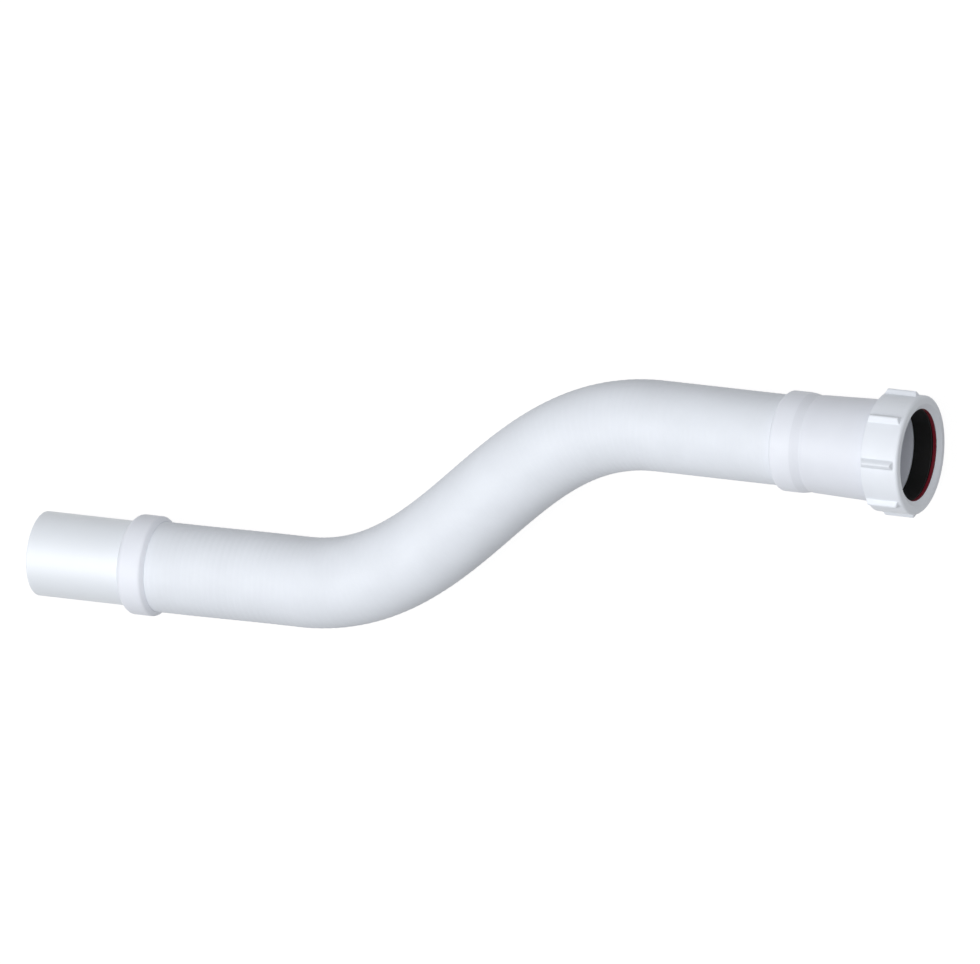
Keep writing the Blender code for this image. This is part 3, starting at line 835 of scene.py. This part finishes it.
class CONNECTOR_OT_stage(bpy.types.Operator):
    """Set up the floor, the light and the camera"""

    bl_idname = "connector.stage"
    bl_label = "Stage"

    def execute(self, context):
        settings = settings_of(context)
        scene = context.scene
        self.make_floor(scene, settings.finishes.floor)
        self.make_world(scene)
        right, up, back, aim = self.view_axes(settings.studio)
        self.make_lamp(scene, "key_softbox", aim, back * LAMP_DISTANCE + up * KEY_RISE, KEY_SIZE, KEY_POWER)
        mirrored = Vector((-back.x, back.y, back.z))
        self.make_lamp(scene, "fill_softbox", aim, mirrored * LAMP_DISTANCE - up * FILL_DROP,
                       FILL_SIZE, FILL_POWER)
        camera_data = bpy.data.cameras.new("camera")
        camera_data.sensor_width = SENSOR_MM
        camera_data.lens = settings.studio.lens
        camera_data.clip_start = CLIP_START
        camera_data.clip_end = CLIP_END
        camera = bpy.data.objects.new("camera", camera_data)
        scene.collection.objects.link(camera)
        place = aim + back * settings.studio.distance
        axes = Matrix((right, up, back)).transposed()
        camera.matrix_world = Matrix.Translation(place) @ axes.to_4x4()
        scene.camera = camera
        scene.view_settings.view_transform = "Standard"
        return {"FINISHED"}

    def view_axes(self, studio):
        """Right, up and backward directions of the camera and the point that it looks at.

        The camera starts straight above with X to the right. It leans back by the tilt, turns the
        part's far end away by the turn, and then rolls about the line of sight."""
        turn, tilt, roll = studio.turn, studio.tilt, studio.roll
        across = Vector((math.cos(turn), -math.sin(tilt) * math.sin(turn), -math.sin(turn) * math.cos(tilt)))
        upward = Vector((0, math.cos(tilt), -math.sin(tilt)))
        back = across.cross(upward)
        right = math.cos(roll) * across + math.sin(roll) * upward
        up = -math.sin(roll) * across + math.cos(roll) * upward
        aim = Vector(AIM) + AIM_RIGHT * right + AIM_UP * up
        return right, up, back, aim

    def make_lamp(self, scene, name, target, offset, size, power):
        """Round softbox at target plus offset that faces the target."""
        lamp = bpy.data.lights.new(name, "AREA")
        lamp.shape = "DISK"
        lamp.size = size
        lamp.energy = power
        holder = bpy.data.objects.new(name, lamp)
        holder.location = target + offset
        holder.rotation_mode = "QUATERNION"
        holder.rotation_quaternion = offset.to_track_quat("Z", "Y")
        holder.visible_camera = False
        scene.collection.objects.link(holder)

    def make_world(self, scene):
        """Soft even light, with plain white where the camera, a reflection or glass sees past the floor."""
        world = bpy.data.worlds.new("studio")
        scene.world = world
        world.use_nodes = True
        tree = world.node_tree
        tree.nodes.clear()
        seen = seen_directly(tree)
        light = add_node(tree, "ShaderNodeBackground", in_Color=(1, 1, 1, 1), in_Strength=WORLD_LIGHT)
        white = add_node(tree, "ShaderNodeBackground", in_Color=(1, 1, 1, 1), in_Strength=1.0)
        mixed = add_node(tree, "ShaderNodeMixShader", [(0, seen, 0), (1, light, 0), (2, white, 0)])
        add_node(tree, "ShaderNodeOutputWorld", [("Surface", mixed, 0)])

    def make_floor(self, scene, base):
        """White paper: lights the part as paper does, and shows the camera white with a soft shadow."""
        half = FLOOR_HALF
        mesh = bpy.data.meshes.new("floor")
        corners = [(-half, -half, 0), (half, -half, 0), (half, half, 0), (-half, half, 0)]
        mesh.from_pydata(corners, [], [(0, 1, 2, 3)])
        floor = bpy.data.objects.new("floor", mesh)
        scene.collection.objects.link(floor)
        material = bpy.data.materials.new("white_paper")
        material.use_nodes = True
        mesh.materials.append(material)
        tree = material.node_tree
        tree.nodes.clear()
        seen = seen_directly(tree)
        paper = add_node(tree, "ShaderNodeBsdfDiffuse", in_Color=(*base, 1))
        share = FLOOR_SHADOW_SHARE
        shadow_catcher = add_node(tree, "ShaderNodeBsdfDiffuse", in_Color=(share, share, share, 1))
        glow = add_node(tree, "ShaderNodeEmission", in_Color=(1, 1, 1, 1), in_Strength=FLOOR_GLOW)
        shown = add_node(tree, "ShaderNodeAddShader", [(0, shadow_catcher, 0), (1, glow, 0)])
        mixed = add_node(tree, "ShaderNodeMixShader", [(0, seen, 0), (1, paper, 0), (2, shown, 0)])
        add_node(tree, "ShaderNodeOutputMaterial", [("Surface", mixed, 0)])


STEPS = (
    CONNECTOR_OT_hose,
    CONNECTOR_OT_spigot,
    CONNECTOR_OT_socket,
    CONNECTOR_OT_nut,
    CONNECTOR_OT_washer,
    CONNECTOR_OT_seal,
    CONNECTOR_OT_stage,
)


class CONNECTOR_PT_panel(bpy.types.Panel):
    """Lists the pieces of the connector with the sizes and colours that they take"""

    bl_label = "Flexible waste connector"
    bl_idname = "CONNECTOR_PT_panel"
    bl_space_type = "VIEW_3D"
    bl_region_type = "UI"
    bl_category = "Connector"

    def draw(self, context):
        layout = self.layout
        for step in STEPS:
            layout.operator(step.bl_idname)
        settings = settings_of(context)
        for group in (settings.hose, settings.fittings, settings.nut, settings.seal,
                      settings.finishes, settings.studio):
            box = layout.box()
            for name in type(group).__annotations__:
                box.prop(group, name)


CLASSES = (HoseSizes, FittingSizes, NutSizes, SealSizes, Finishes, StudioSettings, Connector,
           *STEPS, CONNECTOR_PT_panel)


def register():
    for cls in CLASSES:
        bpy.utils.register_class(cls)
    bpy.types.Scene.flexible_waste_connector = PointerProperty(type=Connector)


def unregister():
    del bpy.types.Scene.flexible_waste_connector
    for cls in reversed(CLASSES):
        bpy.utils.unregister_class(cls)


def main():
    register()
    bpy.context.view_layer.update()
    for step in STEPS:
        group, name = step.bl_idname.split(".")
        getattr(getattr(bpy.ops, group), name)()


if __name__ == "__main__":
    main()
